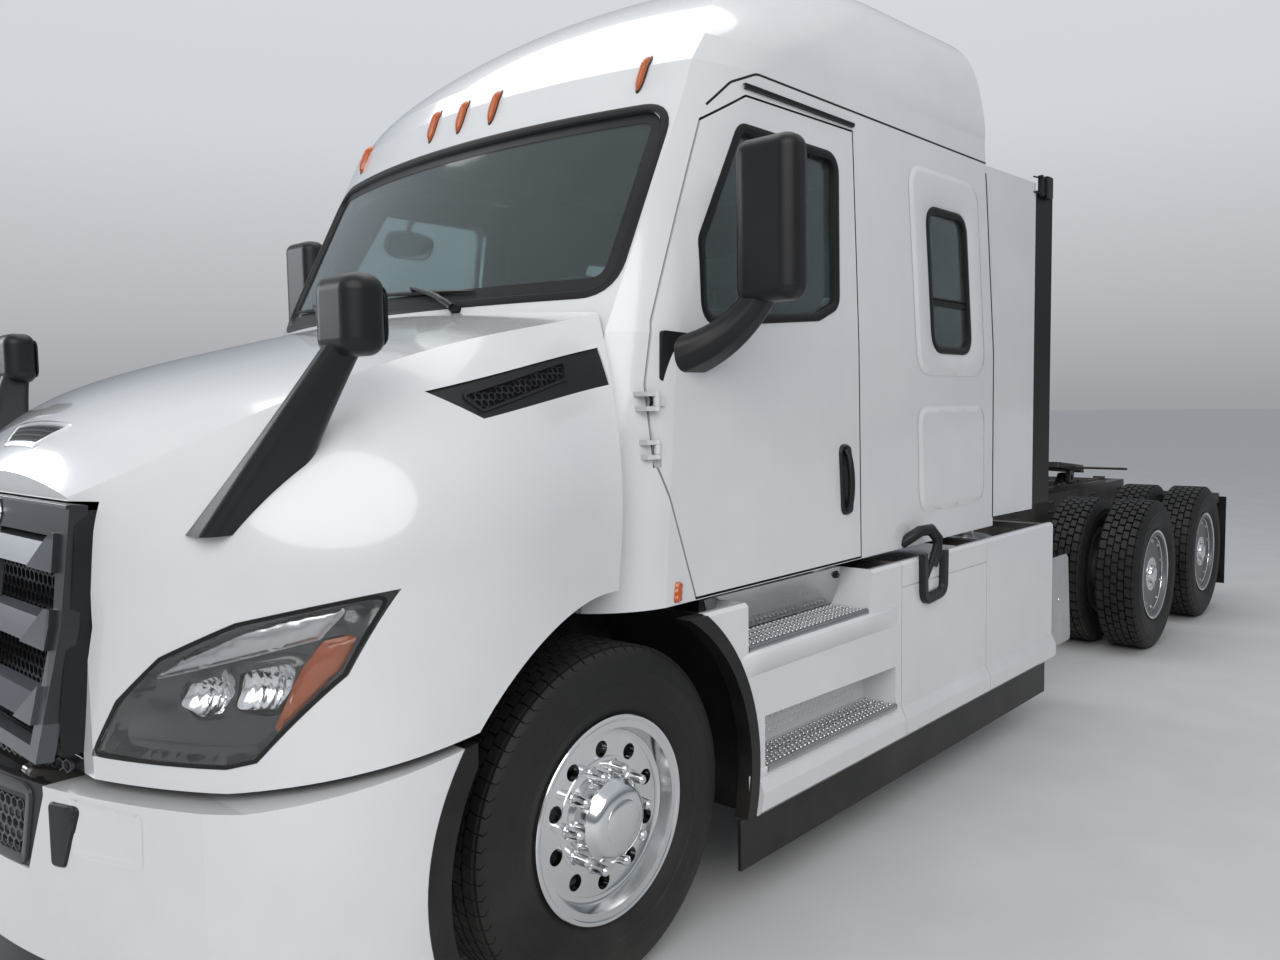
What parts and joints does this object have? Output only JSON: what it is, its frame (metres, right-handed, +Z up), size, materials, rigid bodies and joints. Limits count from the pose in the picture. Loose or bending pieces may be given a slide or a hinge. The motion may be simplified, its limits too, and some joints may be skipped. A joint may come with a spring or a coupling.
{
  "type": "semi truck tractor unit",
  "caption": "Conventional sleeper-cab road tractor with tandem drive axles, tilting hood, side fairings and a fifth wheel coupling.",
  "frame": {"origin": "on the ground under the middle of the truck's length and width", "axes": "+X to the truck's left, the truck faces -Y, +Z up"},
  "size_m": [2.89, 8.52, 3.485],
  "materials": {
    "white_paint": "glossy clear-coated white",
    "frame_paint": "satin black chassis paint",
    "cast_metal": "painted rough casting",
    "radiator_core": "dull finned core",
    "tank_metal": "brushed",
    "window_glass": "lightly tinted",
    "cabin_plastic": "grained moulding",
    "seat_fabric": "woven",
    "black_rubber": "matte",
    "bright_metal": "polished",
    "black_plastic": "fine grained",
    "grille_plastic": "satin dark grey",
    "lamp_housing": "dark with bright bowls",
    "clear_lens": "clear polycarbonate",
    "red_lens": "transparent red",
    "amber_lens": "transparent amber",
    "coupling_metal": "greasy casting",
    "grey_wheel": "satin grey cover and steel wheel",
    "tyre_rubber": "road tyre rubber"
  },
  "bodies": {
    "chassis": {"ladder_frame": "frame_paint", "cross_members": "frame_paint", "front_springs": "frame_paint", "rear_suspension": "frame_paint", "driveline": "frame_paint", "tail_board": "frame_paint", "front_axle": "cast_metal", "drive_axles": "cast_metal", "engine_block": "cast_metal", "radiator": "radiator_core", "fuel_tanks": "tank_metal", "exhaust_box": "tank_metal", "cab_shell": "white_paint", "roof_cap": "white_paint", "side_extenders": "white_paint", "side_fairings": "white_paint", "bumper": "white_paint", "windshield": "window_glass", "sleeper_windows": "window_glass", "dashboard": "cabin_plastic", "seats": "seat_fabric", "bunk": "seat_fabric", "rubber_edges": "black_rubber", "skirts": "black_rubber", "mudflaps": "black_rubber", "splash_guards": "black_rubber", "steps": "bright_metal", "deck_plates": "bright_metal", "bumper_grille": "black_plastic", "tail_lamps": "red_lens", "marker_lamps": "amber_lens", "fifth_wheel_base": "coupling_metal"},
    "hood": {"hood": "white_paint", "grille": "grille_plastic", "headlamps": "lamp_housing", "headlamp_lenses": "clear_lens", "hood_trim": "black_plastic"},
    "tie_rod": {"tie_rod": "cast_metal"},
    "fifth_wheel": {"fifth_wheel_plate": "coupling_metal"},
    "door_left": {"door_left": "white_paint", "door_glass_left": "window_glass", "door_mirror_left": "black_plastic"},
    "knuckle_left": {"knuckle_left": "cast_metal"},
    "front_wheel_left": {"front_rim_left": "bright_metal", "front_tyre_left": "tyre_rubber"},
    "drive_wheel_1_left": {"drive_rims_1_left": "grey_wheel", "drive_tyres_1_left": "tyre_rubber"},
    "drive_wheel_2_left": {"drive_rims_2_left": "grey_wheel", "drive_tyres_2_left": "tyre_rubber"},
    "door_right": {"door_right": "white_paint", "door_glass_right": "window_glass", "door_mirror_right": "black_plastic"},
    "knuckle_right": {"knuckle_right": "cast_metal"},
    "front_wheel_right": {"front_rim_right": "bright_metal", "front_tyre_right": "tyre_rubber"},
    "drive_wheel_1_right": {"drive_rims_1_right": "grey_wheel", "drive_tyres_1_right": "tyre_rubber"},
    "drive_wheel_2_right": {"drive_rims_2_right": "grey_wheel", "drive_tyres_2_right": "tyre_rubber"}
  },
  "joints": [
    {"name": "hood_tilt", "type": "hinge", "parent": "chassis", "child": "hood", "pos_m": [0, -4.21, 0.8], "axis": [1, 0, 0], "range_deg": [0, 65]},
    {"name": "door_left_swing", "type": "hinge", "parent": "chassis", "child": "door_left", "pos_m": [1.11, -2.715, 1.6], "axis": [0, 0, -1], "range_deg": [0, 65]},
    {"name": "door_right_swing", "type": "hinge", "parent": "chassis", "child": "door_right", "pos_m": [-1.11, -2.715, 1.6], "axis": [0, 0, 1], "range_deg": [0, 65]},
    {"name": "steer_left", "type": "hinge", "parent": "chassis", "child": "knuckle_left", "pos_m": [0.88, -2.98, 0.498], "axis": [0, 0, 1], "range_deg": [-38, 38]},
    {"name": "steer_right", "type": "hinge", "parent": "chassis", "child": "knuckle_right", "pos_m": [-0.88, -2.98, 0.498], "axis": [0, 0, 1], "range_deg": [-38, 38]},
    {"name": "tie_rod_pivot", "type": "hinge", "parent": "knuckle_left", "child": "tie_rod", "pos_m": [0.88, -2.81, 0.372], "axis": [0, 0, 1], "range_deg": [-38, 38]},
    {"name": "fifth_wheel_rock", "type": "hinge", "parent": "chassis", "child": "fifth_wheel", "pos_m": [0, 2.9285, 1.082], "axis": [1, 0, 0], "range_deg": [0, 18]},
    {"name": "front_wheel_left_spin", "type": "hinge", "parent": "knuckle_left", "child": "front_wheel_left", "pos_m": [1.035, -2.98, 0.498], "axis": [1, 0, 0], "continuous": true},
    {"name": "front_wheel_right_spin", "type": "hinge", "parent": "knuckle_right", "child": "front_wheel_right", "pos_m": [-1.035, -2.98, 0.498], "axis": [1, 0, 0], "continuous": true},
    {"name": "drive_wheel_1_left_spin", "type": "hinge", "parent": "chassis", "child": "drive_wheel_1_left", "pos_m": [0.905, 2.274, 0.498], "axis": [1, 0, 0], "continuous": true},
    {"name": "drive_wheel_1_right_spin", "type": "hinge", "parent": "chassis", "child": "drive_wheel_1_right", "pos_m": [-0.905, 2.274, 0.498], "axis": [1, 0, 0], "continuous": true},
    {"name": "drive_wheel_2_left_spin", "type": "hinge", "parent": "chassis", "child": "drive_wheel_2_left", "pos_m": [0.905, 3.583, 0.498], "axis": [1, 0, 0], "continuous": true},
    {"name": "drive_wheel_2_right_spin", "type": "hinge", "parent": "chassis", "child": "drive_wheel_2_right", "pos_m": [-0.905, 3.583, 0.498], "axis": [1, 0, 0], "continuous": true}
  ],
  "couplings": [
    {"joint": "steer_right", "follows": "steer_left", "ratio": 1},
    {"joint": "tie_rod_pivot", "follows": "steer_left", "ratio": -1}
  ]
}
